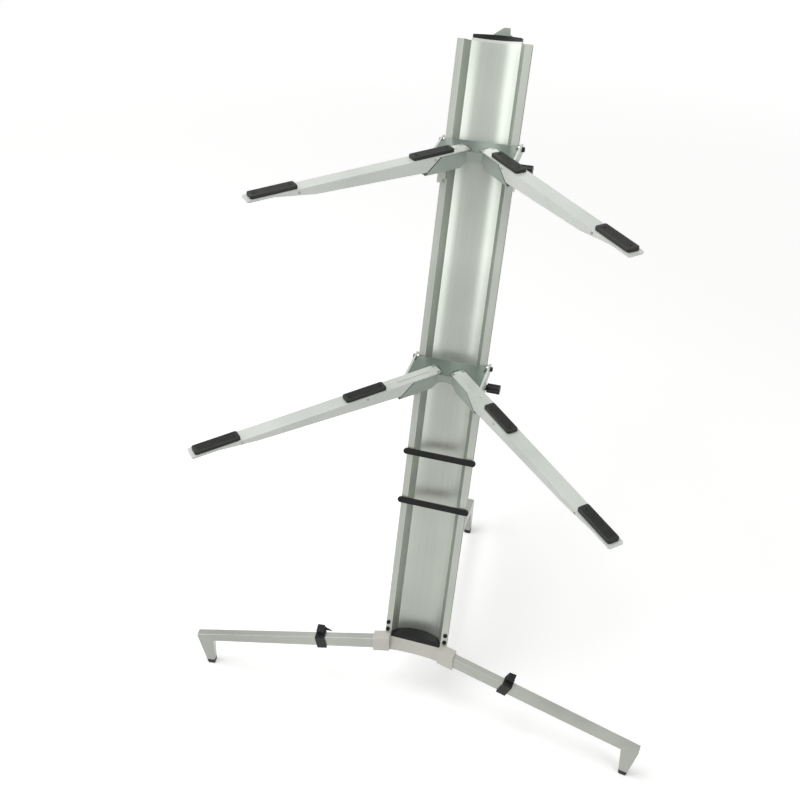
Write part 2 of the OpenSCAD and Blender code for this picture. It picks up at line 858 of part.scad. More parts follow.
module arm(l, pad_s) {
    tongue_s = hinge_s + tongue_start;
    bead_end = min(bead_s[1], pad_s - pad_l / 2 - pad_gap);
    color(light_metal) difference() {
        union() {
            intersection() {
                union() {
                    side_extrude(arm_w) arm_side(l);
                    translate([tongue_s, -arm_w / 2, cover_h])
                        cube([seat_top_s - tongue_s + arm_w, arm_w, arm_wall]);
                }
                translate([l / 2, 0, -2 * arm_h]) linear_extrude(3 * arm_h)
                    rounded(l, arm_w, arm_round);
            }
            translate([hinge_s, -knuckle_w / 2, cover_h])
                cube([tongue_start + over, knuckle_w, arm_wall]);
            translate([hinge_s, 0, hinge_z]) shaft_y(-knuckle_w / 2, knuckle_w, knuckle_r);
            translate([(bead_s[0] + bead_end) / 2, 0, cover_h + arm_wall / 2])
                linear_extrude(arm_wall / 2 + bead_h)
                rounded(bead_end - bead_s[0], bead_w, bead_w / 2 - gap, $fn = 32);
        }
        translate([seat_top_s - arm_w, -arm_w / 2 + arm_wall, -2 * arm_h])
            cube([l - arm_wall - seat_top_s + arm_w, arm_w - 2 * arm_wall, 2 * arm_h + cover_h]);
        translate([hinge_s, 0, hinge_z]) shaft_y(-arm_w, 2 * arm_w, pin_r + pin_gap);
        for (s = rivet_places(l, pad_s)) translate([s, 0, rivet_z])
            shaft_y(-arm_w, 2 * arm_w, rivet_d / 2 + pin_gap);
    }
}

function rivet_places(l, pad_s) = [pad_s, l - outer_pad_inset - pad_l / 2];

module pads(l, pad_s) {
    color(rubber) for (s = [pad_s, l - outer_pad_inset]) translate([s, 0, arm_top])
        linear_extrude(pad_h) rounded(pad_l, pad_w, pad_round);
}

module rivets(l, pad_s) {
    color(steel) for (s = rivet_places(l, pad_s), side = [0, 1]) translate([s, 0, rivet_z])
        mirror([0, side, 0]) {
            shaft_y(arm_w / 2 - arm_wall, arm_wall, rivet_d / 2);
            shaft_y(arm_w / 2, rivet_head_h, rivet_head_d / 2);
        }
}

module lower_slide_block_left() {
    on_column(lower_t) mirror([1, 0, 0]) plain_slide_block();
}

module lower_slide_block_right() {
    on_column(lower_t) slide_block();
}

module upper_slide_block_left() {
    on_column(upper_t) mirror([1, 0, 0]) plain_slide_block();
}

module upper_slide_block_right() {
    on_column(upper_t) slide_block();
}

module lower_right_arm() {
    at_tier(lower_t) along_arm() arm(lower_arm_l, lower_pad_s);
}

module lower_left_arm() {
    at_tier(lower_t) mirror([1, 0, 0]) along_arm() arm(lower_arm_l, lower_pad_s);
}

module upper_right_arm() {
    at_tier(upper_t) along_arm() arm(upper_arm_l, upper_pad_s);
}

module upper_left_arm() {
    at_tier(upper_t) mirror([1, 0, 0]) along_arm() arm(upper_arm_l, upper_pad_s);
}

module lower_right_pads() {
    at_tier(lower_t) along_arm() pads(lower_arm_l, lower_pad_s);
}

module lower_left_pads() {
    at_tier(lower_t) mirror([1, 0, 0]) along_arm() pads(lower_arm_l, lower_pad_s);
}

module upper_right_pads() {
    at_tier(upper_t) along_arm() pads(upper_arm_l, upper_pad_s);
}

module upper_left_pads() {
    at_tier(upper_t) mirror([1, 0, 0]) along_arm() pads(upper_arm_l, upper_pad_s);
}

module lower_right_rivets() {
    at_tier(lower_t) along_arm() rivets(lower_arm_l, lower_pad_s);
}

module lower_left_rivets() {
    at_tier(lower_t) mirror([1, 0, 0]) along_arm() rivets(lower_arm_l, lower_pad_s);
}

module upper_right_rivets() {
    at_tier(upper_t) along_arm() rivets(upper_arm_l, upper_pad_s);
}

module upper_left_rivets() {
    at_tier(upper_t) mirror([1, 0, 0]) along_arm() rivets(upper_arm_l, upper_pad_s);
}

column_profile();
bottom_cap();
top_collar();
top_cap();
top_hook();
hook_screws();
base_hub();
hub_screws();
upper_band();
lower_band();
band_studs();
left_leg();
right_leg();
rear_leg();
left_tenon();
right_tenon();
rear_tenon();
left_foot();
right_foot();
rear_foot();
left_cable_clip();
right_cable_clip();
lower_slide_block_left();
lower_slide_block_right();
slot_nuts(lower_t);  // lower_slot_nuts
pivot_bolts(lower_t);  // lower_pivot_bolts
block_screws(lower_t);  // lower_block_screws
clamp_knob(lower_t);  // lower_clamp_knob
clamp_stud(lower_t);  // lower_clamp_stud
yoke(lower_t);  // lower_yoke
seat_buffers(lower_t);  // lower_seat_buffers
top_plate(lower_t);  // lower_top_plate
side_plates(lower_t);  // lower_side_plates
side_screws(lower_t);  // lower_side_screws
hinge_pins(lower_t);  // lower_hinge_pins
lower_left_arm();
lower_right_arm();
lower_left_pads();
lower_right_pads();
lower_left_rivets();
lower_right_rivets();
upper_slide_block_left();
upper_slide_block_right();
slot_nuts(upper_t);  // upper_slot_nuts
pivot_bolts(upper_t);  // upper_pivot_bolts
block_screws(upper_t);  // upper_block_screws
clamp_knob(upper_t);  // upper_clamp_knob
clamp_stud(upper_t);  // upper_clamp_stud
yoke(upper_t);  // upper_yoke
seat_buffers(upper_t);  // upper_seat_buffers
top_plate(upper_t);  // upper_top_plate
side_plates(upper_t);  // upper_side_plates
side_screws(upper_t);  // upper_side_screws
hinge_pins(upper_t);  // upper_hinge_pins
upper_left_arm();
upper_right_arm();
upper_left_pads();
upper_right_pads();
upper_left_rivets();
upper_right_rivets();
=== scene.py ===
import json
import math

import bmesh
import bpy
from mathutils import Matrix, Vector


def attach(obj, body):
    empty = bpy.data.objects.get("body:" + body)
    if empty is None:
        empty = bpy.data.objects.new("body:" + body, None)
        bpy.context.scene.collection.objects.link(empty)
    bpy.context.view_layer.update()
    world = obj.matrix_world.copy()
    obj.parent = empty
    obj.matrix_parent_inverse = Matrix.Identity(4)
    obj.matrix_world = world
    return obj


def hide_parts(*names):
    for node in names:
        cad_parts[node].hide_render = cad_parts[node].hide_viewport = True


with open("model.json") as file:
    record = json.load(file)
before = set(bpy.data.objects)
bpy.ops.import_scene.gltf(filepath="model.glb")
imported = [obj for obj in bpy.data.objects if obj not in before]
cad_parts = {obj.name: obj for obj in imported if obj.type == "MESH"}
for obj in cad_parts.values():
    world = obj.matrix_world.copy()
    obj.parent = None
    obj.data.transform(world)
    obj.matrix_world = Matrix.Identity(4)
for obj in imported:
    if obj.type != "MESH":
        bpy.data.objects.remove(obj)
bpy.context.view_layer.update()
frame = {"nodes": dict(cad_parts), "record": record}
nodes = frame["nodes"]
bodyOf = {name: body for body, names in frame["record"]["behaviour"]["bodies"].items()
          for name in names}
slotOf = {part["node"]: part["material_slot"] for part in frame["record"]["subparts"]}
print("frame loaded:", len(nodes), "pieces")

mm = 0.001
up = Vector((0, 0, 1))
columnLeanDeg = 22.3    # the column leans back by this
columnLean = math.radians(columnLeanDeg)
columnBack = Vector((0, math.cos(columnLean), -math.sin(columnLean)))    # from its face to its back


# a node's name without its tier
def kindOf(name):
    return name.removeprefix("lower_").removeprefix("upper_")


# sRGB hex to linear, with alpha
def linearColour(code):
    parts = [int(code[i:i + 2], 16) / 255 for i in (1, 3, 5)]
    linear = [p / 12.92 if p <= 0.04045 else ((p + 0.055) / 1.055) ** 2.4 for p in parts]
    return (*linear, 1.0)


# adds one node: settings are its fields or socket values, links are socket: (node, output)
def addNode(tree, kind, settings=None, links=None):
    node = tree.nodes.new("ShaderNode" + kind)
    for name, value in (settings or {}).items():
        if isinstance(name, str) and hasattr(node, name):
            setattr(node, name, value)
        else:
            node.inputs[name].default_value = value
    for name, (source, output) in (links or {}).items():
        tree.links.new(source.outputs[output], node.inputs[name])
    return node


def newMaterial(name, settings):
    material = bpy.data.materials.new(name)
    material.use_nodes = True
    tree = material.node_tree
    tree.nodes.clear()
    shader = addNode(tree, "BsdfPrincipled", settings)
    addNode(tree, "OutputMaterial", links={"Surface": (shader, "BSDF")})
    return material, tree, shader


# gives the two ends of a ramp their places and hex colours
def setRamp(ramp, places, codes):
    for element, place, code in zip(ramp.color_ramp.elements, places, codes):
        element.position = place
        element.color = linearColour(code)


# what the finishes of one kind share: the part of the noise over which tint and roughness
# change, how far the roughness moves, the depth of the relief, and the detail of each noise
kinds = {
    "anodised": {"tintRange": (0.32, 0.68), "dullRange": (0.3, 0.7), "dullBy": (-0.04, 0.06),
                 "reliefMm": 0.03, "cloudDetail": 2.0, "lineDetail": 3.0,
                 "lineRoughness": 0.55, "lineRange": (0.3, 0.62)},
    "paint": {"tintRange": (0.3, 0.7), "dullRange": (0.35, 0.7), "dullBy": (-0.04, 0.05),
              "reliefMm": 0.06, "cloudDetail": 3.0, "peelDetail": 2.0, "coatRoughness": 0.25},
    "moulded": {"tintRange": (0.35, 0.75), "dullRange": (0.3, 0.7), "dullBy": (-0.06, 0.06),
                "reliefMm": 0.1, "rubDetail": 3.0, "grainDetail": 4.0},
    "steel": {"tintRange": (0.3, 0.7), "dullRange": (0.3, 0.7), "dullBy": (-0.05, 0.08),
              "cloudDetail": 3.0},
}


# leads noise to the shader as tint, roughness and relief, and hands back the tint's node
def weather(tree, shader, finish, kind, tintNoise, dullNoise, reliefNoise=None):
    tint = addNode(tree, "ValToRGB", links={"Fac": (tintNoise, "Fac")})
    setRamp(tint, kind["tintRange"], (finish["dark"], finish["light"]))
    tree.links.new(tint.outputs["Color"], shader.inputs["Base Color"])
    dull = addNode(tree, "MapRange", {"From Min": kind["dullRange"][0],
                                      "From Max": kind["dullRange"][1],
                                      "To Min": finish["roughness"] + kind["dullBy"][0],
                                      "To Max": finish["roughness"] + kind["dullBy"][1]},
                   {"Value": (dullNoise, "Fac")})
    tree.links.new(dull.outputs["Result"], shader.inputs["Roughness"])
    if reliefNoise is not None:
        bump = addNode(tree, "Bump", {"Strength": finish["bump"],
                                      "Distance": kind["reliefMm"] * mm},
                       {"Height": (reliefNoise, "Fac")})
        tree.links.new(bump.outputs["Normal"], shader.inputs["Normal"])
    return tint


# anodised aluminium: the mill or die leaves fine lines, the anodising turns the shine to satin
def anodisedAluminium(name, finish):
    kind = kinds["anodised"]
    material, tree, shader = newMaterial(name, {"Metallic": finish["metallic"],
                                                "Roughness": finish["roughness"]})
    place = addNode(tree, "TexCoord")
    turned = addNode(tree, "Mapping", {"Rotation": (math.radians(finish["turnDeg"]), 0, 0)},
                     {"Vector": (place, "Object")})
    across = 1 / (finish["lineMm"] * mm)
    along = 1 / (finish["lineLengthMm"] * mm)
    drawn = addNode(tree, "Mapping", {"Scale": (across, across, along)},
                    {"Vector": (turned, "Vector")})
    lines = addNode(tree, "TexNoise", {"Scale": 1.0, "Detail": kind["lineDetail"],
                                       "Roughness": kind["lineRoughness"]},
                    {"Vector": (drawn, "Vector")})
    cloud = addNode(tree, "TexNoise", {"Scale": 1 / (finish["cloudMm"] * mm),
                                       "Detail": kind["cloudDetail"]},
                    {"Vector": (place, "Object")})
    tint = weather(tree, shader, finish, kind, cloud, lines, lines)
    # the lines darken the tint on its way to the shader; 6 and 7 are the colours to multiply
    lined = addNode(tree, "ValToRGB", links={"Fac": (lines, "Fac")})
    setRamp(lined, kind["lineRange"], (finish["lineTint"], "#ffffff"))
    colour = addNode(tree, "Mix", {"data_type": "RGBA", "blend_type": "MULTIPLY",
                                   0: finish["lineShare"]},
                     {6: (tint, "Color"), 7: (lined, "Color")})
    tree.links.new(colour.outputs[2], shader.inputs["Base Color"])
    return material


# paint over metal: an even film with a faint orange peel, a little duller where it is handled
def satinPaint(name, finish):
    kind = kinds["paint"]
    material, tree, shader = newMaterial(name, {"Metallic": finish["metallic"],
                                                "Roughness": finish["roughness"],
                                                "Coat Weight": finish["coat"],
                                                "Coat Roughness": kind["coatRoughness"]})
    place = addNode(tree, "TexCoord")
    peel = addNode(tree, "TexNoise", {"Scale": 1 / (finish["peelMm"] * mm),
                                      "Detail": kind["peelDetail"]},
                   {"Vector": (place, "Object")})
    cloud = addNode(tree, "TexNoise", {"Scale": 1 / (finish["cloudMm"] * mm),
                                       "Detail": kind["cloudDetail"]},
                    {"Vector": (place, "Object")})
    weather(tree, shader, finish, kind, cloud, cloud, peel)
    return material


# moulded ABS or rubber: the spark-eroded mould leaves a fine grain, lighter where it is rubbed
def mouldedSkin(name, finish):
    kind = kinds["moulded"]
    material, tree, shader = newMaterial(name, {"Roughness": finish["roughness"],
                                                "IOR": finish["ior"],
                                                "Specular IOR Level": finish["specular"]})
    place = addNode(tree, "TexCoord")
    grain = addNode(tree, "TexNoise", {"Scale": 1 / (finish["grainMm"] * mm),
                                       "Detail": kind["grainDetail"]},
                    {"Vector": (place, "Object")})
    rub = addNode(tree, "TexNoise", {"Scale": 1 / (finish["rubMm"] * mm),
                                     "Detail": kind["rubDetail"]},
                  {"Vector": (place, "Object")})
    weather(tree, shader, finish, kind, rub, grain, grain)
    return material


# plated or blackened steel: a bright or dark film with faint clouds in it
def finishedSteel(name, finish):
    kind = kinds["steel"]
    material, tree, shader = newMaterial(name, {"Metallic": 1.0,
                                                "Roughness": finish["roughness"]})
    place = addNode(tree, "TexCoord")
    cloud = addNode(tree, "TexNoise", {"Scale": 1 / (finish["cloudMm"] * mm),
                                       "Detail": kind["cloudDetail"]},
                    {"Vector": (place, "Object")})
    weather(tree, shader, finish, kind, cloud, cloud)
    return material


# the finish of each material slot, and then those of single pieces; the lines of die and mill
# and the grain of the mould are drawn coarser than they are, since they are too fine to show
finishes = {
    # long lines of the die, turned to run up the column
    "column_aluminium": anodisedAluminium("extrudedAluminiumAnodised", {
        "dark": "#b3b8b0", "light": "#bfc3bb", "metallic": 0.72, "roughness": 0.33,
        "lineMm": 1.2, "lineLengthMm": 600, "lineTint": "#eceeea", "lineShare": 0.5,
        "cloudMm": 180, "bump": 0.15, "turnDeg": columnLeanDeg}),
    # short lines of the rolled sheet under a paler, more matt film
    "arm_aluminium": anodisedAluminium("sheetAluminiumAnodised", {
        "dark": "#c3c8c2", "light": "#cfd2cd", "metallic": 0.35, "roughness": 0.42,
        "lineMm": 0.9, "lineLengthMm": 12, "lineTint": "#eceeec", "lineShare": 0.5,
        "cloudMm": 110, "bump": 0.12, "turnDeg": 0}),
    # warm silver with flakes in it, which dulls the metal's shine
    "leg_aluminium": satinPaint("castAluminiumSilverPaint", {
        "dark": "#b9b8b0", "light": "#c5c3bb", "metallic": 0.4, "roughness": 0.38, "coat": 0.1,
        "peelMm": 1.4, "cloudMm": 140, "bump": 0.12}),
    # dense grey green, nearly without the shine of metal
    "cover_grey": satinPaint("steelGreyGreenEnamel", {
        "dark": "#616c65", "light": "#6e7a73", "metallic": 0.15, "roughness": 0.38, "coat": 0.15,
        "peelMm": 1.0, "cloudMm": 60, "bump": 0.15}),
    # neutral black with a soft sheen
    "black_plastic": mouldedSkin("blackAbs", {
        "dark": "#0f0f0f", "light": "#191918", "roughness": 0.4, "ior": 1.52, "specular": 0.25,
        "grainMm": 0.5, "rubMm": 20, "bump": 0.2}),
    # a paler, duller black than the plastic's
    "pad_rubber": mouldedSkin("blackRubber", {
        "dark": "#191b18", "light": "#262823", "roughness": 0.5, "ior": 1.52, "specular": 0.3,
        "grainMm": 0.4, "rubMm": 15, "bump": 0.3}),
    # bright, a little clouded
    "steel": finishedSteel("steelZincPlated", {
        "dark": "#8f9292", "light": "#a9acab", "roughness": 0.34, "cloudMm": 8}),
    # nearly black, but it still shines like metal
    "darkSteel": finishedSteel("steelBlackened", {
        "dark": "#232424", "light": "#343535", "roughness": 0.4, "cloudMm": 6}),
    # grey satin with half of the metal's shine; its tone is partly the casting's own grey green and
    # partly painted shade, darker for the shade under the top plates
    "yokeCastingPaintedShade": satinPaint("castAluminiumGreySatinWithPaintedShade", {
        "dark": "#8b958d", "light": "#98a19a", "metallic": 0.5, "roughness": 0.4, "coat": 0.1,
        "peelMm": 1.2, "cloudMm": 70, "bump": 0.12}),
    # silver with more of the metal's shine than the castings have; its tone is the castings' silver
    # darkened with painted shade, as the legs look darker away from the hub
    "legTubePaintedShade": satinPaint("tubeAluminiumSilverPaintWithPaintedShade", {
        "dark": "#9fa39c", "light": "#b1b4ac", "metallic": 0.7, "roughness": 0.31, "coat": 0.1,
        "peelMm": 1.4, "cloudMm": 160, "bump": 0.1}),
}
# nodes whose finish differs from their slot's: castings under the top plates, leg tubes, hook;
# these finishes are darkened with painted shade
ownFinish = {"yoke": "yokeCastingPaintedShade", "top_hook": "yokeCastingPaintedShade",
             "left_leg": "legTubePaintedShade", "right_leg": "legTubePaintedShade", "rear_leg": "legTubePaintedShade"}
print("materials made:", len(finishes))

# width in mm to which the edges of each slot are broken, and of the nodes that differ from it
edges = {"column_aluminium": 0.6, "arm_aluminium": 0.8, "leg_aluminium": 0.8, "cover_grey": 0.2,
         "black_plastic": 0.8, "pad_rubber": 0.8, "steel": 0.4}
ownEdges = {"top_cap": 1.6, "band": 2.2, "clamp_knob": 1.2, "top_plate": 0.1, "seat_buffers": 0.3,
            "yoke": 0.5, "column_profile": 0.7}
# an edge turns by more than the angle; the broken edges of the nodes that differ are rounder
edgeBreak = {"angleDeg": 40, "segments": 2, "ownSegments": 3}


def breakEdges(piece, widthMm, segments):
    bevel = piece.modifiers.new("brokenEdge", "BEVEL")
    bevel.width = widthMm * mm
    bevel.segments = segments
    bevel.limit_method = "ANGLE"
    bevel.angle_limit = math.radians(edgeBreak["angleDeg"])
    bevel.harden_normals = True


def dressNodes():
    for name, piece in nodes.items():
        kind, slot = kindOf(name), slotOf[name]
        piece.data.materials.clear()
        piece.data.materials.append(finishes[ownFinish.get(kind, slot)])
        breakEdges(piece, ownEdges.get(kind, edges[slot]),
                   edgeBreak["ownSegments" if kind in ownEdges else "segments"])


dressNodes()
print("frame dressed")

joinMm = 0.001     # points of a node's mesh closer than this are one
ringPoints = 24    # points of every ring


# a node's mesh with its doubled points joined
def meshOf(name):
    mesh = bmesh.new()
    mesh.from_mesh(nodes[name].data)
    bmesh.ops.remove_doubles(mesh, verts=mesh.verts, dist=joinMm * mm)
    return mesh


# the points of each separate solid in a node
def solidsOf(name):
    mesh = meshOf(name)
    seen, solids = set(), []
    for start in mesh.verts:
        if start.index in seen:
            continue
        seen.add(start.index)
        reached, queue = [], [start]
        while queue:
            vert = queue.pop()
            reached.append(vert.co.copy())
            for edge in vert.link_edges:
                other = edge.other_vert(vert)
                if other.index not in seen:
                    seen.add(other.index)
                    queue.append(other)
        solids.append(reached)
    mesh.free()
    return solids


# the lowest and highest reach of points along a direction
def reachAlong(points, direction):
    reach = [p.dot(direction) for p in points]
    return min(reach), max(reach)


def middleOf(points):
    return sum(points, Vector()) / len(points)


# a point's place beside the line through the origin along a direction
def besideLine(point, direction):
    return point - direction * point.dot(direction)


# a piece from a bmesh, smooth up to the given angle, riding on a body
def addPiece(name, mesh, material, body, smoothDeg=35):
    bmesh.ops.recalc_face_normals(mesh, faces=mesh.faces)
    data = bpy.data.meshes.new(name)
    mesh.to_mesh(data)
    mesh.free()
    for face in data.polygons:
        face.use_smooth = True
    data.set_sharp_from_angle(angle=math.radians(smoothDeg))
    data.materials.append(material)
    piece = bpy.data.objects.new(name, data)
    bpy.context.scene.collection.objects.link(piece)
    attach(piece, body)
    return piece


# the name of a piece made for a node
def pieceName(node, ending):
    return node.replace("_", "-") + "-" + ending


# joins rings of as many points each, and closes the first and the last
def bridgeRings(mesh, rings):
    made = [[mesh.verts.new(p) for p in ring] for ring in rings]
    for low, high in zip(made, made[1:]):
        for i in range(len(low)):
            j = (i + 1) % len(low)
            mesh.faces.new((low[i], low[j], high[j], high[i]))
    mesh.faces.new(list(reversed(made[0])))
    mesh.faces.new(made[-1])


# a ring of points about an axis, round or a polygon of as many sides as asked
def ringAt(centre, radius, height, axis=up, sides=None):
    side = axis.orthogonal().normalized()
    other = axis.cross(side)
    points = []
    for i in range(ringPoints):
        angle = 2 * math.pi * i / ringPoints
        reach = radius
        if sides:
            half = math.pi / sides
            reach /= math.cos((angle + half) % (2 * half) - half)
        points.append(centre + axis * height
                      + (side * math.cos(angle) + other * math.sin(angle)) * reach)
    return points


pad = {
    "edgeMm": 1.9,          # rounding of the top edge
    "edgeDeg": (20, 45, 70, 90),    # angles at which the rounding has points
    "cornerMm": 5.0,        # rounding of the outline's corners
    # places of the cross sections, from each end
    "sectionsMm": (0, 0.15, 0.5, 1.1, 1.9, 3.0, 4.4, 6.5, 8, 11, 18, 30),
    "grooves": 5,           # fine grooves along the pad
    "grooveMm": 0.8,        # depth of a groove
    "grooveForm": ((-0.55, 0), (-0.3, 1), (0.3, 1), (0.55, 0)),    # mm across, share of depth
    "pitchMm": 3.4,         # from groove to groove
    "plainEndMm": 5.0,      # length without grooves at each end
    "fadeMm": 2.0,          # length over which the grooves reach their depth
    "screwInsetMm": 11.0,   # middle of a screw's recess from the pad's end
    "recessMm": 3.3,        # radius of the recess
    # mm past that radius and mm above the pad, for each ring of the recess
    "recessForm": ((1.0, -1.0), (0.9, 0.35), (0.6, 0.5), (0.1, 0.45), (0, 0.1), (-0.3, 0.06)),
    "screwMm": 2.4,         # radius of the screw's head
    # share of that radius, mm above the pad and sides, for each ring of the screw
    "screwForm": ((1, 0.0, None), (1, 0.25, None), (0.8, 0.4, None), (0.45, 0.42, 6),
                  (0.45, 0.1, 6)),
    "smoothDeg": 50,
}


# one pad: cross sections along its length, grooved on top
def padSections(centre, along, across, length, width, height):
    edge, corner = pad["edgeMm"] * mm, pad["cornerMm"] * mm
    nearEnd = [section * mm for section in pad["sectionsMm"]]
    places = nearEnd + [length / 2] + [length - section for section in reversed(nearEnd)]
    rings = []
    for place in places:
        end = min(place, length - place)
        intoCorner, intoEdge = max(0.0, corner - end), max(0.0, edge - end)
        half = width / 2 - corner + math.sqrt(corner ** 2 - intoCorner ** 2)
        crown = height - edge + math.sqrt(edge ** 2 - intoEdge ** 2)
        sunk = min(1.0, max(0.0, (end / mm - pad["plainEndMm"]) / pad["fadeMm"]))
        flank = [(-half, 0.0), (-half, crown - edge)]
        flank += [(-half + edge * (1 - math.cos(a)), crown - edge + edge * math.sin(a))
                  for a in (math.radians(d) for d in pad["edgeDeg"])]
        top = []
        for k in range(pad["grooves"]):
            step = (k - (pad["grooves"] - 1) / 2) * pad["pitchMm"] * mm
            middle = step * half / (width / 2)
            for shift, depth in pad["grooveForm"]:
                top.append((middle + shift * mm, crown - depth * sunk * pad["grooveMm"] * mm))
        row = flank + top + [(-v, z) for v, z in reversed(flank)]
        rings.append([centre + along * (place - length / 2) + across * v + up * z
                      for v, z in row])
    return rings


def makePads():
    for name in sorted(n for n in nodes if n.endswith("_pads")):
        solids = solidsOf(name)
        first, second = (middleOf(points) for points in solids)
        outward = first - second if second.y > first.y else second - first
        along = Vector((outward.x, outward.y, 0)).normalized()
        across = Vector((-along.y, along.x, 0))
        mesh, screwMesh = bmesh.new(), bmesh.new()
        for points in solids:
            ends, sides, rise = (reachAlong(points, d) for d in (along, across, up))
            centre = along * sum(ends) / 2 + across * sum(sides) / 2 + up * rise[0]
            length, width, height = (high - low for low, high in (ends, sides, rise))
            bridgeRings(mesh, padSections(centre, along, across, length, width, height))
            for way in (-1, 1):
                at = centre + along * way * (length / 2 - pad["screwInsetMm"] * mm)
                bridgeRings(mesh, [
                    ringAt(at, pad["recessMm"] * mm + wider * mm, height + above * mm)
                    for wider, above in pad["recessForm"]])
                bridgeRings(screwMesh, [
                    ringAt(at, pad["screwMm"] * mm * share, height + above * mm, sides=corners)
                    for share, above, corners in pad["screwForm"]])
        rubber = addPiece(pieceName(name, "ribbed"), mesh, finishes["pad_rubber"],
                          bodyOf[name], pad["smoothDeg"])
        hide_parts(name)
        addPiece(pieceName(name, "screws"), screwMesh, finishes["darkSteel"],
                 bodyOf[name])


makePads()
print("pads made")

# hinge pins: the inner end is cut level with the casting's nose, where the bore comes out
hingePin = {"chamferMm": 0.6, "noseMm": 15.2, "smoothDeg": 30}


def makeHingePins():
    for name in sorted(n for n in nodes if n.endswith("_hinge_pins")):
        mesh = bmesh.new()
        for points in solidsOf(name):
            middle = middleOf(points)
            byReach = sorted(points, key=lambda p: abs(p.x))
            inner, outer = byReach[:len(points) // 2], byReach[len(points) // 2:]
            way = (middleOf(outer) - middleOf(inner)).normalized()
            high = reachAlong(points, way)[1]
            radius = max(besideLine(p - middle, way).length for p in points)
            foot = besideLine(middle, way)
            cut, noseY = hingePin["chamferMm"] * mm, middle.y - hingePin["noseMm"] * mm
            level = [p + way * (noseY - p.y) / way.y for p in ringAt(foot, radius, high, way)]
            domed = [p + way * (noseY - cut / 2 - p.y) / way.y
                     for p in ringAt(foot, radius - cut, high, way)]
            bridgeRings(mesh, [domed, level, ringAt(foot, radius, high - cut, way),
                               ringAt(foot, radius - cut, high, way)])
        # the pins take the casting's finish, with its painted shade
        pins = addPiece(pieceName(name, "chamfered"), mesh, finishes["yokeCastingPaintedShade"],
                        bodyOf[name], hingePin["smoothDeg"])
        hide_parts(name)


makeHingePins()
print("hinge pins made")

# socket screws by kind of node: direction to the head, height of the head, and finish
screws = {
    "hub_screws": {"way": -columnBack, "headMm": 3.0, "finish": "darkSteel"},
    "hook_screws": {"way": columnBack, "headMm": 3.0, "finish": "steel"},
    "side_screws": {"way": "out", "headMm": 3.0, "finish": "steel"},
    "block_screws": {"way": "out", "headMm": 3.0, "finish": "steel"},
    "pivot_bolts": {"way": "out", "headMm": 4.5, "finish": "darkSteel"},
}
screwForm = {
    "tipZoneMm": 0.5,       # the shank's radius is measured this near to its tip
    "tipShare": 0.85,       # radius of the tip, as a share of the shank's
    "tipMm": 0.4,           # length of the tip
    "edgeMm": 0.8,          # broken edge of the head
    "edgeMidMm": (0.25, 0.3),    # its middle, in from the rim and down from the top
    "sides": 6,             # sides of the socket
    "mouthShare": 0.52,     # width of its mouth, as a share of the head's radius
    "mouthMm": 0.3,         # depth of the mouth's chamfer
    "socketShare": 0.46,    # width of the socket below it
    "depthShare": 0.6,      # its depth, as a share of the head's height
    "smoothDeg": 30,
}


# one socket screw on the place of a plain one: shank, head with a broken edge, hexagon socket
def socketScrew(mesh, points, way, headHeight):
    low, high = reachAlong(points, way)
    across = way.orthogonal()
    middle = Vector()
    for axis in (across.normalized(), way.cross(across).normalized()):
        middle += axis * sum(reachAlong(points, axis)) / 2
    head = max((besideLine(p, way) - middle).length for p in points)
    nearTip = [p for p in points if p.dot(way) < low + screwForm["tipZoneMm"] * mm]
    shank = max((besideLine(p, way) - middle).length for p in nearTip)
    rim, sides = high - headHeight, screwForm["sides"]
    inMm, downMm = screwForm["edgeMidMm"]
    mouth = high - screwForm["mouthMm"] * mm
    rings = [(shank * screwForm["tipShare"], low, None),
             (shank, low + screwForm["tipMm"] * mm, None),
             (shank, rim, None),
             (head, rim, None),
             (head, high - screwForm["edgeMm"] * mm, None),
             (head - inMm * mm, high - downMm * mm, None),
             (head - screwForm["edgeMm"] * mm, high, None),
             (head * screwForm["mouthShare"], high, sides),
             (head * screwForm["socketShare"], mouth, sides),
             (head * screwForm["socketShare"], high - headHeight * screwForm["depthShare"], sides)]
    bridgeRings(mesh, [ringAt(middle, r, h, way, s) for r, h, s in rings])


def makeScrews():
    for name in sorted(nodes):
        if kindOf(name) not in screws:
            continue
        screw = screws[kindOf(name)]
        mesh = bmesh.new()
        for points in solidsOf(name):
            way = screw["way"]
            if way == "out":
                way = Vector((1 if sum(p.x for p in points) > 0 else -1, 0, 0))
            socketScrew(mesh, points, way, screw["headMm"] * mm)
        piece = addPiece(pieceName(name, "socket"), mesh, finishes[screw["finish"]],
                         bodyOf[name], screwForm["smoothDeg"])
        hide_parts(name)


makeScrews()
print("screws made")

# cable clips: pushed askew on the legs, so that they lean to the tips as in the photograph;
# tailShare is how far a tail reaches from the lug, as a share of the reach of the node's tail
clips = {
    "legSweepDeg": 7.5,     # the front legs point forward by this
    "legFall": 0.16,        # and their middle lines fall by this share of their length
    "tailZoneMm": 1.0,      # what stands out of the band by more than this is the tail
    "lugInsetMm": 3.0,      # from the band's edge to the lug
    "smoothDeg": 30,
    "left_cable_clip": {"side": -1, "lean": 0.13, "tailDropMm": 7.0, "tailShare": 1.3},
    "right_cable_clip": {"side": 1, "lean": 0.36, "tailDropMm": 0.0, "tailShare": 0.1},
}


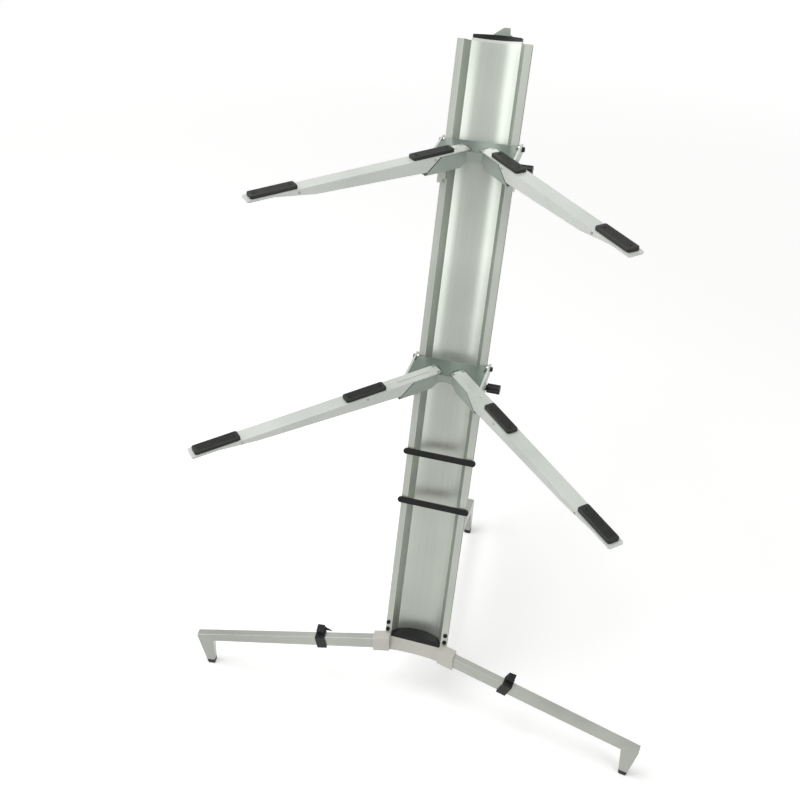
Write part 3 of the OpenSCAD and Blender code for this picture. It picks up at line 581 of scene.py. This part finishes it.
def makeClips():
    sweep = math.radians(clips["legSweepDeg"])
    for name in ("left_cable_clip", "right_cable_clip"):
        clip = clips[name]
        level = Vector((clip["side"] * math.cos(sweep), -math.sin(sweep), 0))
        along = (level - up * clips["legFall"]).normalized()
        mesh = meshOf(name)
        low, high = reachAlong([v.co for v in mesh.verts], up)
        half = (low + high) / 2
        bandStart = min(v.co.dot(level) for v in mesh.verts if v.co.z < half)
        lugStart = bandStart + clips["lugInsetMm"] * mm
        for vert in mesh.verts:
            reach = vert.co.dot(level)
            if reach < bandStart - clips["tailZoneMm"] * mm:
                vert.co += level * (lugStart - reach) * (1 - clip["tailShare"])
                vert.co.z -= clip["tailDropMm"] * mm
            vert.co += along * clip["lean"] * (vert.co.z - half)
        piece = addPiece(pieceName(name, "askew"), mesh, finishes["black_plastic"],
                         bodyOf[name], clips["smoothDeg"])
        breakEdges(piece, edges["black_plastic"], edgeBreak["segments"])
        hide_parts(name)


makeClips()
print("clips made")

# camera fitted to the photograph; its place is in mm
photoCamera = {"at": (345.4, -1445.9, 1925.3), "yawDeg": 17.0, "downDeg": 38.3,
               "lensMm": 40.63, "sensorMm": 36, "farMm": 200000}


def makeCamera():
    data = bpy.data.cameras.new("photoCamera")
    data.lens = photoCamera["lensMm"]
    data.sensor_width = photoCamera["sensorMm"]
    data.clip_end = photoCamera["farMm"] * mm
    camera = bpy.data.objects.new("photoCamera", data)
    camera.location = [c * mm for c in photoCamera["at"]]
    camera.rotation_euler = (math.radians(90 - photoCamera["downDeg"]), 0,
                             math.radians(photoCamera["yawDeg"]))
    bpy.context.scene.collection.objects.link(camera)
    bpy.context.scene.camera = camera


# white ground and soft boxes, in m and W; a box's size is its width and height
studio = {
    "white": "#ffffff",
    "whiteStrength": 1.0,         # what camera, metal and glass see of the world
    "worldStrength": 0.34,        # and what lights the object
    "floorSize": 60.0,
    "floorColour": "#f4f4f3",
    "floorRoughness": 0.9,
    "floorSpecular": 0.1,
    "floorLift": (0.34, 0.66),    # what camera and metal see on top of the lit paper, near and far
    "floorReach": (1.0, 5.0),     # where near ends and far begins
    "lamps": {
        "leftPanel": {"at": (-2.7, -0.9, 1.9), "aim": (0, 0, 1.2), "size": (2.3, 2.2), "watts": 34},
        "rightPanel": {"at": (2.6, -1.5, 1.6), "aim": (0, 0, 1.0), "size": (1.3, 2.2), "watts": 20},
        "topBox": {"at": (-0.6, -0.3, 3.5), "aim": (0, 0, 0.6), "size": (1.5, 1.5), "watts": 46},
    },
}


# 1 for the rays by which the camera, metal and glass see the background, else 0
def raysThatSeeWhite(tree):
    rays = addNode(tree, "LightPath")
    straight = addNode(tree, "Math", {"operation": "MAXIMUM"},
                       {0: (rays, "Is Camera Ray"), 1: (rays, "Is Glossy Ray")})
    return addNode(tree, "Math", {"operation": "MAXIMUM"},
                   {0: (straight, "Value"), 1: (rays, "Is Transmission Ray")})


def makeWorld():
    world = bpy.data.worlds.new("studioWorld")
    world.use_nodes = True
    bpy.context.scene.world = world
    tree = world.node_tree
    tree.nodes.clear()
    strength = addNode(tree, "MapRange", {"To Min": studio["worldStrength"],
                                          "To Max": studio["whiteStrength"]},
                       {"Value": (raysThatSeeWhite(tree), "Value")})
    sky = addNode(tree, "Background", {"Color": linearColour(studio["white"])},
                  {"Strength": (strength, "Result")})
    addNode(tree, "OutputWorld", links={"Surface": (sky, "Background")})


# paper that takes the object's shadow; the lift makes up for the light that it lacks far out
def makeFloor():
    half = studio["floorSize"] / 2
    mesh = bpy.data.meshes.new("paperFloor")
    mesh.from_pydata([(-half, -half, 0), (half, -half, 0), (half, half, 0), (-half, half, 0)],
                     [], [(0, 1, 2, 3)])
    floor = bpy.data.objects.new("paperFloor", mesh)
    bpy.context.scene.collection.objects.link(floor)
    material, tree, shader = newMaterial("whitePaper", {
        "Base Color": linearColour(studio["floorColour"]),
        "Roughness": studio["floorRoughness"],
        "Specular IOR Level": studio["floorSpecular"],
        "Emission Color": linearColour(studio["white"])})
    distance = addNode(tree, "VectorMath", {"operation": "LENGTH"},
                       {0: (addNode(tree, "TexCoord"), "Object")})
    lift = addNode(tree, "MapRange", {"From Min": studio["floorReach"][0],
                                      "From Max": studio["floorReach"][1],
                                      "To Min": studio["floorLift"][0],
                                      "To Max": studio["floorLift"][1]},
                   {"Value": (distance, "Value")})
    shown = addNode(tree, "Math", {"operation": "MULTIPLY"},
                    {0: (raysThatSeeWhite(tree), "Value"), 1: (lift, "Result")})
    tree.links.new(shown.outputs["Value"], shader.inputs["Emission Strength"])
    floor.data.materials.append(material)


def makeLamps():
    for name, lamp in studio["lamps"].items():
        data = bpy.data.lights.new(name, "AREA")
        data.shape = "RECTANGLE"
        data.size, data.size_y = lamp["size"]
        data.energy = lamp["watts"]
        light = bpy.data.objects.new(name, data)
        light.location = lamp["at"]
        aim = Vector(lamp["aim"]) - light.location
        light.rotation_euler = aim.to_track_quat("-Z", "Y").to_euler()
        bpy.context.scene.collection.objects.link(light)


bpy.context.scene.view_settings.view_transform = "Standard"
makeCamera()
makeWorld()
makeFloor()
makeLamps()
print("camera and studio made")
